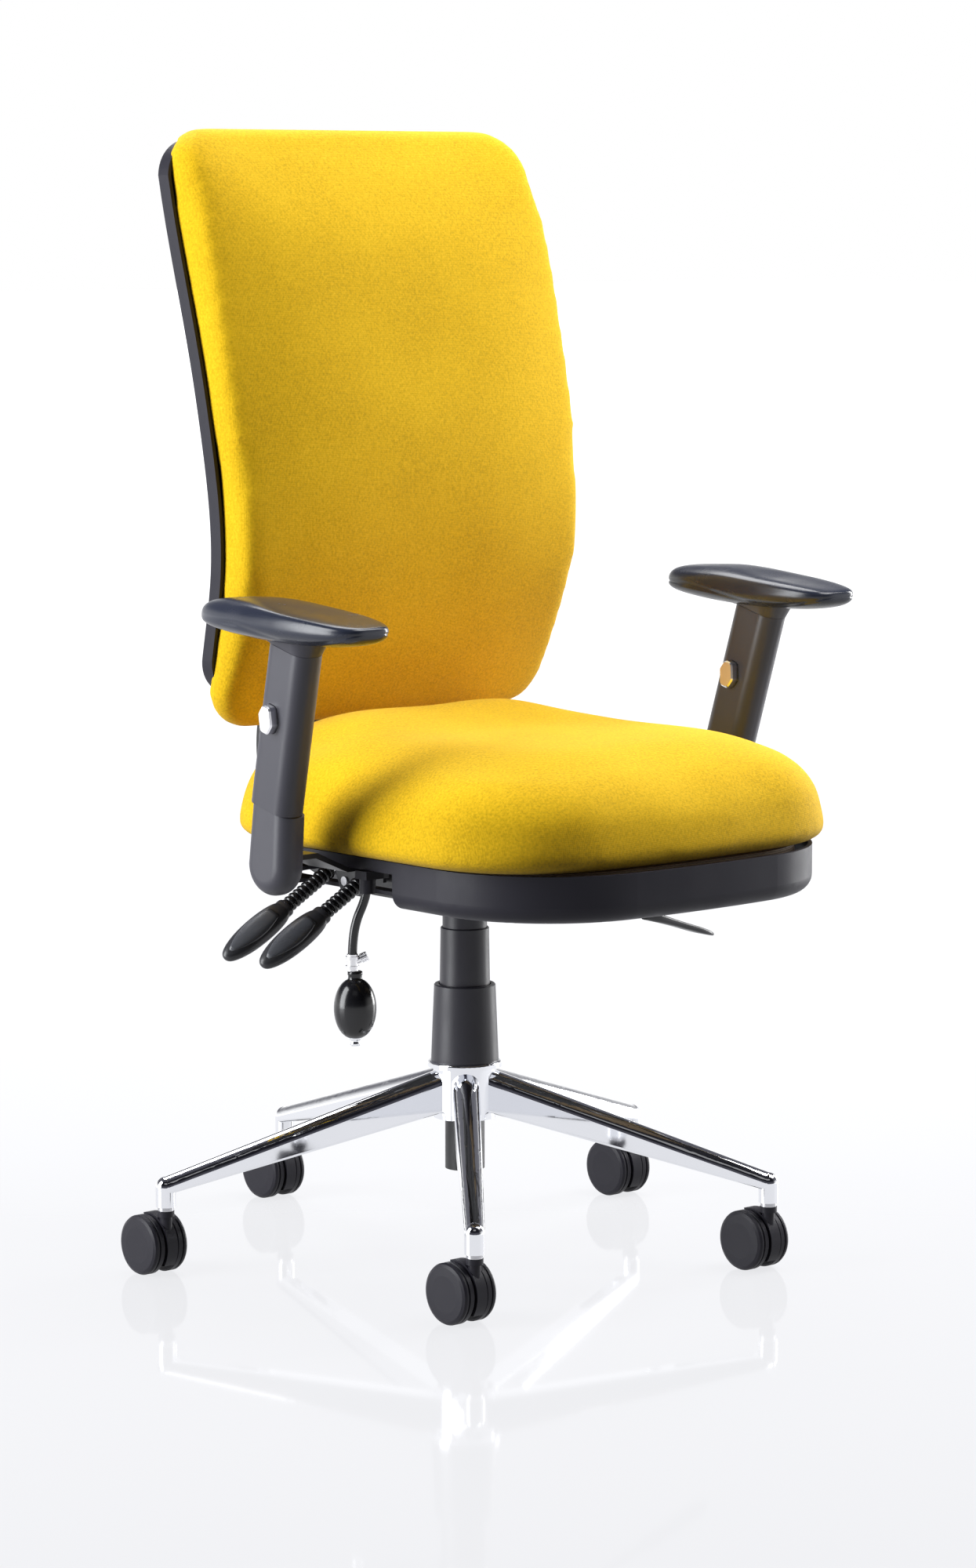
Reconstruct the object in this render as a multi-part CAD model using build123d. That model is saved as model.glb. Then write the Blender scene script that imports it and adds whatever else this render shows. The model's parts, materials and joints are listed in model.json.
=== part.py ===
"""High-back operator chair: five castors, gas column, tilting seat, reclining back, height arms.

Millimetres, +Z up. The origin is on the floor, on the column's axis. The chair faces -Y, so the
sitter's right hand is at -X. It is drawn with the seat, back and arms at their rest positions.
"""
from build123d import *
from math import atan2, cos, degrees, radians, sin, sqrt, tan
import os

BASE = (Align.CENTER, Align.CENTER, Align.MIN)
RIGHT, LEFT = -1, 1                      # the sitter's right is at -X
FIT = 0.05                               # radial clearance of a running fit
GAP = 0.3                                # clearance of plain faces that slide or part

# ---- driving dimensions -------------------------------------------------------------------------
# base
leg_count = 5
leg_first = -39.05                       # degrees from -Y towards +X to the first leg
leg_reach = 315.0                        # column axis to castor stem
leg_wall = 2.0
leg_at_hub = (28.0, 43.0, 168.5)         # width, height, middle height
leg_at_tip = (20.0, 17.0, 91.5)
hub_r, hub_z = 32.0, (140.0, 192.0)
hub_lip_r, hub_lip_h = 37.5, 6.0
socket_r, socket_z = 10.0, 70.0

# castors
wheel_r, wheel_w = 30.0, 14.0
wheel_gap = 14.5                         # clear space between the two wheels
castor_trail = 20.0                      # stem axis to axle
stem_r, axle_r = 5.5, 3.0

# column
tube_r, tube_wall = 20.0, 2.0
tube_z = (87.0, 300.0)
cylinder_r, cylinder_z = 14.0, (160.0, 388.0)
taper_z = 358.0                          # the cylinder narrows above this to hold the mechanism
rod_r, piston_z = 5.0, (236.0, 246.0)
cover_low_z, cover_low_r = (198.0, 276.0), (34.1, 31.1)
cover_mid_z, cover_mid_r = (232.0, 334.0), (26.15, 24.5)
cover_top_z, cover_top_r = (262.0, 356.0), 22.5

# mechanism and pivots
mech_half = 62.0
mech_y = (-150.0, 72.0)
mech_z = (364.0, 412.0)
mech_wall = 3.0
tilt_pivot = (60.0, 394.0)               # y, z
recline_pivot = (95.0, 374.0)
shaft_r, pin_r = 6.0, 3.0

# seat
seat_plate_z = (421.0, 424.0)
board_z = (424.0, 436.0)
shell_z = (390.0, 436.0)
shell_wall = 4.0
cushion_z = (436.3, 527.0)
notch_y, notch_top = (-150.0, 48.0), 424.4  # gap under the shell's side for arm bar and levers

# arms: the upright's centre line, given by its place at one height and its lean
arm_ref_z, arm_x, arm_y = 560.0, 299.7, -89.7
arm_out, arm_forward = 0.0552, -0.265    # sideways and fore-aft lean per mm of height
sleeve_z = (488.0, 643.0)
sleeve_size = (57.0, 33.0)
post_size = (45.0, 21.0)
pad_z = (648.0, 690.0)
pad_y = (-233.5, 1.5)
pad_width = 86.0
button_z, button_back = 575.0, 4.5       # height, and distance behind the upright's centre line
button_travel = 4.0

# back
back_top, back_low = 1131.0, 536.0
back_shell_low, back_shell_top = 570.0, 1120.0
back_half = ((576.0, 217.0), (760.0, 226.0), (930.0, 231.0), (1084.0, 227.0))
back_rear = ((158.0, 536.0), (149.0, 602.0), (126.0, 692.0), (122.5, 745.0), (129.0, 815.0),
             (148.0, 912.0), (175.0, 1004.0), (203.0, 1096.0), (213.0, 1135.0))
back_front = ((125.0, 536.0), (105.0, 590.0), (78.0, 668.0), (72.5, 740.0), (78.0, 806.0),
              (103.0, 936.0), (118.0, 1001.0), (137.0, 1065.0), (158.0, 1110.0), (180.0, 1135.0))
back_rim = 16.0                          # depth of the rear shell's rim

# back bar: corners of its centre line in y, z, and the radii between them
bar_path = ((95.0, 374.0), (326.0, 374.0), (204.5, 673.6), (181.0, 822.0))
bar_radii = (125.0, 100.0)
bar_width, bar_thick = 110.0, 9.0

# levers on the right: y of each, and the line that rod, boot and grip follow
lever_y = {"back": 16.0, "tilt": -42.0}
lever_root = (-152.0, 410.5)             # x, z
lever_slope = 29.5                       # degrees below horizontal
boot_span, grip_span = (10.0, 80.0), (74.0, 162.0)

# lumbar pump
bulb_axis = (-228.0, -103.6)
bulb_z, bulb_r = (261.0, 320.0), 20.5
valve_z = (327.0, 343.0)
hose_r = 4.5
hose_route = ((-218.9, -111.5, 414.0), (-219.4, -111.1, 403.0), (-222.0, -108.8, 391.0),
              (-226.6, -104.8, 377.0), (-229.4, -102.4, 359.0), (-229.8, -102.0, 343.0))


# ---- helpers ------------------------------------------------------------------------------------
def write(name, *shapes):
    """Write one sub-part; several shapes are separate solids of that sub-part."""
    shape = shapes[0] if len(shapes) == 1 else Compound(children=list(shapes))
    shape.label = name
    export_step(shape, f"parts/{name}.step")


def rod(radius, low, high, x=0.0, y=0.0):
    """Upright cylinder between two heights."""
    return Pos(x, y, low) * Cylinder(radius, high - low, align=BASE)


def ring(outer, inner, low, high):
    return rod(outer, low, high) - rod(inner, low - 1, high + 1)


def turned(*points):
    """Solid of revolution about Z from a closed outline of (radius, height) points."""
    return revolve(make_face(Plane.XZ * Polyline(*points, close=True)), Axis.Z)


def block(x, y, z):
    """Box from three (low, high) pairs."""
    return Pos((x[0] + x[1]) / 2, (y[0] + y[1]) / 2, (z[0] + z[1]) / 2) * Box(
        x[1] - x[0], y[1] - y[0], z[1] - z[0])


def cross_rod(radius, x, y, z):
    """Cylinder along X between x[0] and x[1]."""
    return Pos(x[0], y, z) * Rot(0, 90, 0) * Cylinder(radius, x[1] - x[0], align=BASE)


def fore_rod(radius, x, y, z):
    """Cylinder along Y between y[0] and y[1]."""
    return Pos(x, y[0], z) * Rot(-90, 0, 0) * Cylinder(radius, y[1] - y[0], align=BASE)


def side_prism(points, half):
    """Prism along X, to both sides, from an outline in (y, z)."""
    return extrude(make_face(Plane.YZ * Polyline(*points, close=True)), half, both=True)


# ---- base ---------------------------------------------------------------------------------------
def leg_section(x, width, height, middle):
    """Leg section: flat sides, round top, small radius below."""
    shape = Rectangle(width, height)
    corners = shape.vertices().sort_by(Axis.Y)
    shape = fillet(corners[2:], width / 2 - 0.05)
    shape = fillet(shape.vertices().sort_by(Axis.Y)[:2], 3)
    return Plane(origin=(x, 0, middle), x_dir=(0, 1, 0), z_dir=(1, 0, 0)) * shape


def leg(k):
    inner_hub = [v - 2 * leg_wall for v in leg_at_hub[:2]] + [leg_at_hub[2]]
    inner_tip = [v - 2 * leg_wall for v in leg_at_tip[:2]] + [leg_at_tip[2]]
    outer = loft([leg_section(hub_r - 5, *leg_at_hub), leg_section(leg_reach, *leg_at_tip)])
    inner = loft([leg_section(hub_r - 7, *inner_hub), leg_section(leg_reach - 12, *inner_tip)])
    dome = leg_at_tip[2] + leg_at_tip[1] / 2 - socket_r
    tip = rod(socket_r, socket_z, dome, leg_reach) + Pos(leg_reach, 0, dome) * Sphere(socket_r)
    turn = Rot(0, 0, leg_angle(k))
    hole = rod(stem_r, socket_z - 1, 94, leg_reach)
    return turn * (outer + tip - hole), turn * inner


def leg_angle(k):
    return leg_first - 90 + k * 360 / leg_count


def stem_place(k):
    angle = radians(leg_angle(k))
    return leg_reach * cos(angle), leg_reach * sin(angle)


def star_base():
    body = rod(hub_r, *hub_z) + rod(hub_lip_r, hub_z[1], hub_z[1] + hub_lip_h)
    body = fillet(body.edges().filter_by(GeomType.CIRCLE).group_by(Axis.Z)[-1], 2.5)
    hollow = ring(hub_r - 3, tube_r + 3.5, hub_z[0] - 1, hub_z[1])
    legs = [leg(k) for k in range(leg_count)]
    for outer, _ in legs:
        body += outer
    for _, inner in legs:
        hollow += inner
    socket = rod(tube_r + 3.5, *hub_z)
    return body - hollow + socket - rod(tube_r, hub_z[0] - 1, hub_z[1] + hub_lip_h + 1)


# ---- castors ------------------------------------------------------------------------------------
stem_grip = (70.0, 94.0)                 # part of the stem inside the leg's socket
spigot_r = 3.5


def castor_stem():
    return (rod(stem_r, *stem_grip) + rod(8, 66, 70) + rod(spigot_r, 45, 66))


def castor_housing():
    """Neck over the spigot, web round the axle and the curved plate in front of the wheels."""
    axle_z = wheel_r
    half = wheel_gap / 2 - 1.0
    neck = rod(half, 40, 61) + rod(8.5, 60, 65.7)
    outline = Plane.YZ * (Pos(castor_trail, axle_z) * Circle(wheel_r + 1.5))
    front = Plane.YZ * (Pos(castor_trail, axle_z) * Circle(wheel_r - 8))
    shroud = extrude(outline - front, half, both=True)
    behind = side_prism(((castor_trail + 14, 80), (castor_trail + 60, 80), (castor_trail + 60, -40),
                         (castor_trail - 22, -40), (castor_trail - 25, 12), (castor_trail, axle_z)), 20)
    web = extrude(Plane.YZ * (Pos(castor_trail, axle_z) * Circle(wheel_r - 6)), 3.0, both=True)
    below = block((-20, 20), (castor_trail - 40, castor_trail + 40), (-5, 14))
    hub = cross_rod(8, (-half, half), castor_trail, axle_z)
    body = neck + (shroud - behind) + (web - below) + hub
    body -= rod(spigot_r + FIT, 44, 70)
    return body - cross_rod(axle_r + FIT, (-20, 20), castor_trail, axle_z)


def castor_wheels():
    """Two hollow wheels and the axle that joins them, turning about X."""
    inner, outer = wheel_gap / 2, wheel_gap / 2 + wheel_w
    rim = wheel_r - 5
    profile = ((axle_r, inner), (8, inner), (8, outer - 4.5), (rim, outer - 4.5), (rim, inner),
               (wheel_r - 1.5, inner), (wheel_r, inner + 1.5), (wheel_r, inner + 6),
               (wheel_r - 1.2, inner + 6.6), (wheel_r - 1.2, inner + 7.4), (wheel_r, inner + 8),
               (wheel_r, outer - 4), (wheel_r - 1.2, outer - 1.8), (wheel_r - 4, outer - 0.5),
               (wheel_r - 12, outer), (0, outer), (0, outer - 3.5), (axle_r, outer - 3.5))
    wheel = turned(*profile)
    axle = rod(axle_r, -outer + 3.6, outer - 3.6)
    place = Pos(0, castor_trail, wheel_r) * Rot(0, 90, 0)
    return place * wheel, place * mirror(wheel, Plane.XY), place * axle


# ---- column -------------------------------------------------------------------------------------
def column_tube():
    body = ring(tube_r, tube_r - tube_wall, *tube_z)
    return body + ring(tube_r - tube_wall, 4.0 + FIT, 93, 97)


def piston_rod():
    return turned((0, 88), (4, 88), (4, 103), (rod_r, 103), (rod_r, piston_z[0]),
                  (cylinder_r - 2.1, piston_z[0]), (cylinder_r - 2.1, piston_z[1]), (0, piston_z[1]))


def gas_cylinder():
    low, high = cylinder_z
    top_r = cylinder_r - (high - taper_z) / 30
    return turned((rod_r + FIT, low), (cylinder_r - 0.8, low), (cylinder_r, low + 1),
                  (cylinder_r, taper_z), (top_r, high), (pin_r + FIT, high), (pin_r + FIT, 345),
                  (cylinder_r - 2, 345), (cylinder_r - 2, low + 6), (rod_r + FIT, low + 6))


def column_cover(radii, z, wall, lip, catch):
    """Tapered plastic sleeve: an inward lip at the top, an outward catch at the foot."""
    (low_r, top_r), (low, high) = radii, z
    points = [(low_r - wall, low), (max(low_r, catch), low), (max(low_r, catch), low + 3)]
    if catch > low_r:
        points.append((low_r, low + 3))
    points += [(top_r, high - 1), (top_r - 1, high), (lip, high), (lip, high - 3), (top_r - wall, high - 3)]
    return turned(*points)


# ---- mechanism ----------------------------------------------------------------------------------
lever_hub = (44.0, 391.0)                # x, z of the height lever's pivot


def mechanism_housing(cylinder):
    front, rear = mech_y
    low, high = mech_z
    w = mech_wall
    outer = side_prism(((front, low + 10), (front, high - 8), (-20, high), (rear, high), (rear, low),
                        (front + 30, low)), mech_half)
    inner = side_prism(((front + w, low + 12), (front + w, high + 9), (rear - w, high + 9),
                        (rear - w, low + w), (front + 31, low + w)), mech_half - w)
    body = outer - inner + rod(22, low, cylinder_z[1])
    ear = block((lever_hub[0] - 7, lever_hub[0] + 7), (9.5, 12.5), (low, lever_hub[1] + 7))
    body += ear + mirror(ear, Plane.XZ)
    body -= cylinder
    body -= rod(cylinder_r - 3, low - 2, cylinder_z[1] + 5)
    body -= cross_rod(shaft_r, (-80, 80), *tilt_pivot)
    body -= fore_rod(pin_r, lever_hub[0], (-20, 20), lever_hub[1])
    slot = block((mech_half - 8, mech_half + 5), (-40, 12), (372, high + 5))
    return body - slot - rod(pin_r + 3, cylinder_z[1] - 1, cylinder_z[1] + 20)


def height_lever():
    """Rod from the pivot under the shell to a flat paddle, with the arm that presses the valve."""
    x, z = lever_hub
    hub = fore_rod(7, x, (-9, 9), z)
    arm = block((-5, x), (-5, 5), (396.5, 400.5))
    path = FilletPolyline((x, 0, z), (78, -20, 385), (150, -56, 349), (204, -60, 329), radius=18)
    shaft = sweep(Plane(path @ 0, z_dir=path % 0) * Circle(4), path=path)
    drop = atan2(30, 94)
    along = Vector(cos(drop), 0, -sin(drop))
    start = Vector(192, -60, 333.4)
    sections = []
    for travel, width, thick in ((0, 12, 11), (18, 20, 9), (60, 22, 6.5), (92, 17, 4.5), (98, 10, 3)):
        place = Plane(origin=start + along * travel, x_dir=(0, 1, 0), z_dir=along)
        sections.append(place * RectangleRounded(width, thick, thick * 0.45))
    body = hub + arm + shaft + loft(sections)
    return body - fore_rod(pin_r + FIT, x, (-20, 20), z)


# ---- levers with bellows ------------------------------------------------------------------------
def lever_plane(y, travel):
    """Plane across the lever's line, at a distance from its pivot."""
    slope = radians(lever_slope)
    along = Vector(-cos(slope), 0, -sin(slope))
    origin = Vector(lever_root[0], y, lever_root[1]) + along * travel
    return Plane(origin=origin, x_dir=(0, 1, 0), z_dir=along)


def lever_rod(y):
    hub = fore_rod(6, lever_root[0], (y - 7.5, y + 7.5), lever_root[1])
    shaft = lever_plane(y, 0) * Cylinder(4, grip_span[1] - 30, align=BASE)
    return hub + shaft - fore_rod(pin_r + FIT, lever_root[0], (y - 20, y + 20), lever_root[1])


def lever_boot(y):
    """Rubber bellows: a row of round ribs on a thin sleeve, hollow over the rod."""
    ribs, radius = 11, 7.8
    start, end = boot_span[0] + 2, boot_span[1] - 4
    pitch = (end - start) / ribs
    points = [(4.0, start)]
    for k in range(ribs):
        low = start + k * pitch
        points += [(radius - 2.2, low), (radius, low + pitch * 0.35), (radius, low + pitch * 0.65)]
    points += [(radius - 2.2, end), (radius - 1.5, end), (radius - 1.5, boot_span[1]), (4.0, boot_span[1])]
    return lever_plane(y, 0) * turned(*points)


def lever_grip(y, boot, shaft):
    """Pointed oval handle, lofted through ellipses."""
    sections = []
    for travel, width, thick in ((74, 21, 18), (90, 27, 21), (118, 30, 22), (144, 25, 17), (162, 11, 8)):
        sections.append(lever_plane(y, travel) * Ellipse(width / 2, thick / 2))
    return loft(sections) - boot - shaft


# ---- seat ---------------------------------------------------------------------------------------
def seat_outline(half, front, rear, bow, front_radius, rear_radius):
    """Seat plan: straight sides, bowed front, rounded corners."""
    side = front + bow
    edges = [Line((-half, rear), (-half, side)), ThreePointArc((-half, side), (0, front), (half, side)),
             Line((half, side), (half, rear)), Line((half, rear), (-half, rear))]
    face = make_face(edges)
    face = fillet(face.vertices().sort_by(Axis.Y)[:2], front_radius)
    return fillet(face.vertices().sort_by(Axis.Y)[-2:], rear_radius)


def lifted(face, low, high):
    return extrude(Pos(0, 0, low) * face, high - low)


def seat_plate():
    plate = block((-110, 110), (-170, 112), seat_plate_z)
    body = plate
    for side in (RIGHT, LEFT):
        tilt_ear = block(sorted((side * 66, side * 70)), (44, 76), (tilt_pivot[1] - 14, seat_plate_z[0]))
        rear_ear = block(sorted((side * 58, side * 62)), (83, 110), (recline_pivot[1] - 14, seat_plate_z[0]))
        body += tilt_ear + rear_ear
    body -= cross_rod(shaft_r + FIT, (-80, 80), *tilt_pivot)
    body -= cross_rod(shaft_r, (-80, 80), *recline_pivot)
    for x, y in bolt_places:
        body -= rod(4.0, 400, 440, x, y)
    return body


bolt_places = [(x, y) for x in (-95, 95) for y in (-145, 0)]
bracket_bolts = [(side * 150, y) for side in (RIGHT, LEFT) for y in (-92, -72)]


def seat_board():
    board = lifted(seat_outline(209, -336, 122, 20, 125, 90), *board_z)
    for x, y in bolt_places + bracket_bolts:
        board -= rod(4.0, 400, 440, x, y)
    return board


def seat_bolts():
    heads = []
    for x, y in bolt_places:
        heads.append(rod(6.5, 415.5, seat_plate_z[0], x, y) + rod(4.0, seat_plate_z[0], 434, x, y))
    for x, y in bracket_bolts:
        heads.append(rod(6.5, 414.5, 420, x, y) + rod(4.0, 420, 434, x, y))
    heads.append(cross_rod(4.5, (lever_root[0] - 16.5, lever_root[0] - 14), -14, 398))
    return heads


def seat_shell():
    """Open tray with a rounded lower edge, notched at both sides for the arm bars and levers."""
    low, high = shell_z
    outer = lifted(seat_outline(220, -358, 140, 22, 140, 120), low, high)
    outer = fillet(outer.edges().group_by(Axis.Z)[0], 16)
    inner = lifted(seat_outline(216, -354, 136, 22, 136, 116), low + shell_wall, high + 1)
    inner = fillet(inner.edges().group_by(Axis.Z)[0], 12)
    opening = lifted(seat_outline(148, -262, 112, 14, 60, 40), low - 1, low + shell_wall + 1)
    body = outer - inner - opening
    for side in (RIGHT, LEFT):
        body -= block(sorted((side * 162, side * 240)), notch_y, (low - 1, notch_top))
        for y in (-235, 75):
            body += rod(7, low + 1, board_z[0], side * 184, y)
    return body


def seat_cushion():
    body = lifted(seat_outline(246, -352, 146, 24, 130, 130), *cushion_z)
    body = fillet(body.edges().group_by(Axis.Z)[-1], 40)
    return fillet(body.edges().group_by(Axis.Z)[0], 16)


def lever_bracket():
    """Hanger under the board for the two bellows levers: ears, riveted pins and a pointed tab."""
    x0, x1 = lever_root[0] - 14, lever_root[0] + 14
    body = block((x0, x1), (lever_y["tilt"] - 14, lever_y["back"] + 14), (417, 420))
    body += block((x0, x1), (-26.7, lever_y["back"] + 14), (420, 424))
    for y in lever_y.values():
        for side in (-1, 1):
            body += block((x0 + 5, x1 - 5), sorted((y + side * 8, y + side * 11)), (403, 417))
        body += fore_rod(pin_r, lever_root[0], (y - 12, y + 12), lever_root[1])
    middle = (lever_y["tilt"] + lever_y["back"]) / 2
    tab = Polyline((middle - 16, 417), (middle - 16, 404), (middle - 4, 382), (middle + 4, 382),
                   (middle + 14, 404), (middle + 14, 417), close=True)
    tab = fillet(make_face(tab).vertices().sort_by(Axis.Y)[:2], 3.5)
    return body + Pos(x0, 0, 0) * extrude(Plane.YZ * tab, 3)


# ---- arms ---------------------------------------------------------------------------------------
def arm_axis(side, z):
    rise = z - arm_ref_z
    return Vector(side * (arm_x + arm_out * rise), arm_y + arm_forward * rise, z)


def arm_plane(side, z):
    """Plane across an upright at a height: its x axis points back, its y axis sideways."""
    up = (arm_axis(side, z + 1) - arm_axis(side, z)).normalized()
    back = (Vector(0, 1, 0) - up * up.Y).normalized()
    return Plane(origin=arm_axis(side, z), x_dir=back, z_dir=up)


lean = sqrt(1 + arm_out**2 + arm_forward**2)     # length of upright per mm of height


def arm_stick(side, size, radius, low, high):
    """Straight rounded bar along the upright between two heights."""
    plane = arm_plane(side, low)
    return extrude(plane * RectangleRounded(*size, radius), (high - low) * lean)


def arm_bracket(side):
    """Steel bar under the board that rises into the arm's boot, and its upright inside the sleeve."""
    outline = Polyline((112, 420), (223, 420), (262, 437), (290, 437), (290, 442), (260, 442),
                       (221, 424), (112, 424), close=True)
    bar = extrude(make_face(Plane.XZ * outline), 30, both=True)
    bar = Pos(0, -57, 0) * (bar if side == LEFT else mirror(bar, Plane.YZ))
    foot = block(sorted((side * 112, side * 205)), (-104, -27), (420, 424))
    lip = block(sorted((side * 202, side * 205)), (-104, -87), (404, 424))
    body = bar + foot + lip + arm_stick(side, (30, 8), 1.5, 430, 536)
    for x, y in bracket_bolts:
        body -= rod(4.0, 400, 440, x, y)
    return body


def arm_sleeve(side, bracket):
    """Outer sleeve: a pocket for the steel upright below, a bore for the pad's post above."""
    low, high = sleeve_z
    body = arm_stick(side, sleeve_size, 15, low, high)
    bore = [size + 2 * GAP for size in post_size]
    body -= arm_stick(side, bore, 8.3, 545, high + 5)
    body -= button_shape(side, 1.0, -40, 0.6)
    return body - bracket


def button_plane(side):
    plane = arm_plane(side, button_z)
    across = plane.x_dir.cross(plane.z_dir)
    outward = across if across.X < 0 else across * -1
    return Plane(origin=plane.origin + plane.x_dir * button_back, x_dir=plane.x_dir, z_dir=outward)


def button_shape(side, start, end, grow):
    """Six-sided rounded button as a prism through the sleeve's -X wall."""
    face = Polygon((-11, 3), (-5, -13.5), (6, -13.5), (11, -3), (5, 13.5), (-6, 13.5), align=None)
    face = fillet(face.vertices(), 5)
    if grow:
        face = offset(face, grow)
    low, high = (8.0, 40.0) if grow else (start, end)
    return extrude(button_plane(side) * Pos(0, 0, low) * face, high - low)


def arm_button(side):
    half = sleeve_size[1] / 2
    body = button_shape(side, 10.2, half + 8.5, 0)
    return chamfer(body.faces().sort_by(button_axis(side))[-1].edges(), 1.5)


def button_axis(side):
    plane = button_plane(side)
    return Axis(plane.origin, plane.z_dir)


def arm_support(side):
    """Post inside the sleeve, grooved for the button, and the neck that flares under the pad."""
    post = arm_stick(side, post_size, 8, 552, sleeve_z[1] + 2)
    plane = button_plane(side)
    groove = plane * (Pos(0, 0, 5.6) * extrude(Rectangle(25, 400), 20))
    foot = arm_plane(side, sleeve_z[1] + GAP)
    top = Plane(origin=arm_axis(side, pad_z[0] + 2), x_dir=(0, 1, 0), z_dir=(0, 0, 1))
    neck = loft([foot * RectangleRounded(*sleeve_size, 15), top * RectangleRounded(68, 42, 19)])
    keep = Pos(0, 0, sleeve_z[1] - 300) * Box(1000, 1000, 600)
    return (post - (groove & keep)) + neck


def arm_pad(side, support):
    middle = Pos(side * 305.0, sum(pad_y) / 2, pad_z[0])
    length = pad_y[1] - pad_y[0]
    body = extrude(middle * Rot(0, 0, 90) * SlotOverall(length, pad_width), pad_z[1] - pad_z[0])
    body = fillet(body.edges().group_by(Axis.Z)[-1], 20)
    body = fillet(body.edges().group_by(Axis.Z)[0], 14)
    return body - support


def arm_boot(side, bracket):
    """Hollow cover below the sleeve with a round lower end."""
    axis = arm_axis(side, sleeve_z[0])
    slope = Vector(0, 1, -arm_forward).normalized()
    rear = (axis.Y + slope.Y * 28.5, axis.Z + slope.Z * 28.5)
    front = (axis.Y - slope.Y * 28.5, axis.Z - slope.Z * 28.5)
    low = (axis.Y + 6, 432.0)

    def outline(inset, top):
        r = 30 - inset
        lift = Vector(0, arm_forward, 1) * top
        edges = [Line((front[0] + inset + lift.Y, front[1] + lift.Z), (rear[0] - inset + lift.Y, rear[1] + lift.Z)),
                 Line((rear[0] - inset + lift.Y, rear[1] + lift.Z), (low[0] + r, low[1])),
                 ThreePointArc((low[0] + r, low[1]), (low[0], low[1] - r), (low[0] - r, low[1])),
                 Line((low[0] - r, low[1]), (front[0] + inset + lift.Y, front[1] + lift.Z))]
        return Plane.YZ * make_face(edges)

    x = arm_axis(side, 440).X
    body = extrude(outline(0, -1.6), sleeve_size[1] / 2, both=True)
    sides = body.edges().filter_by(lambda e: abs(e.center().X) > 16)
    body = fillet(sides.filter_by(lambda e: e.center().Z < 478), 15)
    hollow = extrude(outline(6, 4), sleeve_size[1] / 2 - 6, both=True)
    return Pos(x, 0, 0) * (body - hollow) - bracket


# ---- back ---------------------------------------------------------------------------------------
def back_outline(inset, low, top):
    """Back seen from the front: bowed sides, round corners."""
    sides = [(half - inset, z) for z, half in back_half]
    r_top, r_low = 44.0 - inset, 40.0
    x_low, x_top = sides[0][0], sides[-1][0]
    start = (x_low, max(sides[0][1], low + r_low))
    points = [start] + sides[1:]
    right = [Line((0, low), (x_low - r_low, low)),
             RadiusArc((x_low - r_low, low), start, -r_low - 1.0),
             Spline(*points),
             ThreePointArc(points[-1], (x_top - r_top * 0.30, top - r_top * 0.30), (x_top - r_top, top)),
             Line((x_top - r_top, top), (0, top))]
    left = [mirror(edge, Plane.YZ) for edge in right]
    return make_face(right + left)


def back_strip(rear_shift, front_points, front_shift):
    """Slab along X between two curves in y, z; shifts move the curves towards the front."""
    rear = [(y - rear_shift, z) for y, z in back_rear]
    front = [(y - front_shift, z) for y, z in front_points]
    edges = [Spline(*rear), Line(rear[-1], front[-1]), Spline(*front), Line(front[0], rear[0])]
    return extrude(Plane.YZ * make_face(edges), 300, both=True)


def back_slice(outline, strip):
    return (extrude(Plane.XZ * outline, -600) & strip)


def back_shell():
    outer = back_slice(back_outline(0, back_shell_low, back_shell_top), back_strip(0, back_rear, back_rim))
    inner = back_slice(back_outline(4, back_shell_low + 4, back_shell_top - 4),
                       back_strip(4, back_rear, back_rim + 1))
    return outer - inner


def bladder_zone(grow):
    zone = Pos(0, 200, 715) * Box(260 + grow, 400, 150 + grow)
    return zone & back_strip(5 - grow / 2, back_rear, 15 + grow / 2)


def back_cushion(shell):
    body = back_slice(back_outline(4.3, back_low, back_top), back_strip(4.3, back_front, 0))
    return body - shell - bladder_zone(0.6)


def bar_profile():
    return Plane.YZ * FilletPolyline(*bar_path, radius=list(bar_radii))


def back_bar():
    path = bar_profile()
    strip = sweep(Plane(path @ 0, x_dir=(1, 0, 0), z_dir=path % 0) * RectangleRounded(bar_width, bar_thick, 3),
                  path=path)
    knuckle = cross_rod(12, (-bar_width / 2, bar_width / 2), *recline_pivot)
    return strip + knuckle - cross_rod(shaft_r + FIT, (-80, 80), *recline_pivot)


def carrier_plane():
    """Across the bar's straight upper part, at the carrier's middle; z runs up the bar."""
    (y0, z0), (y1, z1) = bar_path[2], bar_path[3]
    along = Vector(0, y1 - y0, z1 - z0).normalized()
    return Plane(origin=Vector(0, y0, z0) + along * 62, x_dir=(1, 0, 0), z_dir=along)


def back_carrier(shell):
    plane = carrier_plane()
    body = Pos(0, 12, 0) * Box(bar_width + 22, 100, 84)
    body = fillet(body.edges().filter_by(Axis.Z), 14)
    body = plane * fillet(body.edges().group_by(Axis.Z)[0] + body.edges().group_by(Axis.Z)[-1], 6)
    slot = plane * Box(bar_width + 2 * GAP, bar_thick + 2 * GAP, 200)
    ahead = back_strip(0, back_rear, 200)
    return body - slot - ahead - shell


# ---- lumbar pump --------------------------------------------------------------------------------
def hose_path():
    """Straight runs joined by arcs as large as the runs allow."""
    points = [Vector(*p) for p in hose_route]
    radii = []
    for before, here, after in zip(points, points[1:], points[2:]):
        turn = radians((here - before).get_angle(after - here))
        shorter = min((here - before).length, (after - here).length)
        radii.append(0.45 * shorter / tan(turn / 2))
    print("hose arc radii", [round(r, 1) for r in radii])
    return FilletPolyline(*points, radius=radii)


def air_hose():
    path = hose_path()
    body = sweep(Plane(path @ 0, z_dir=path % 0) * Circle(hose_r), path=path)
    area = 3.14159 * hose_r**2
    print("hose length", round(path.length, 2), "volume ratio", round(body.volume / (area * path.length), 4))
    return body


def hose_gland(hose):
    x, y, z = hose_route[0]
    tab = block((x - 8, x + 13.5), (y - 8.5, y + 8.5), (416, 424))
    return tab + rod(7.5, 402, 424, x, y) - hose


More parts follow.
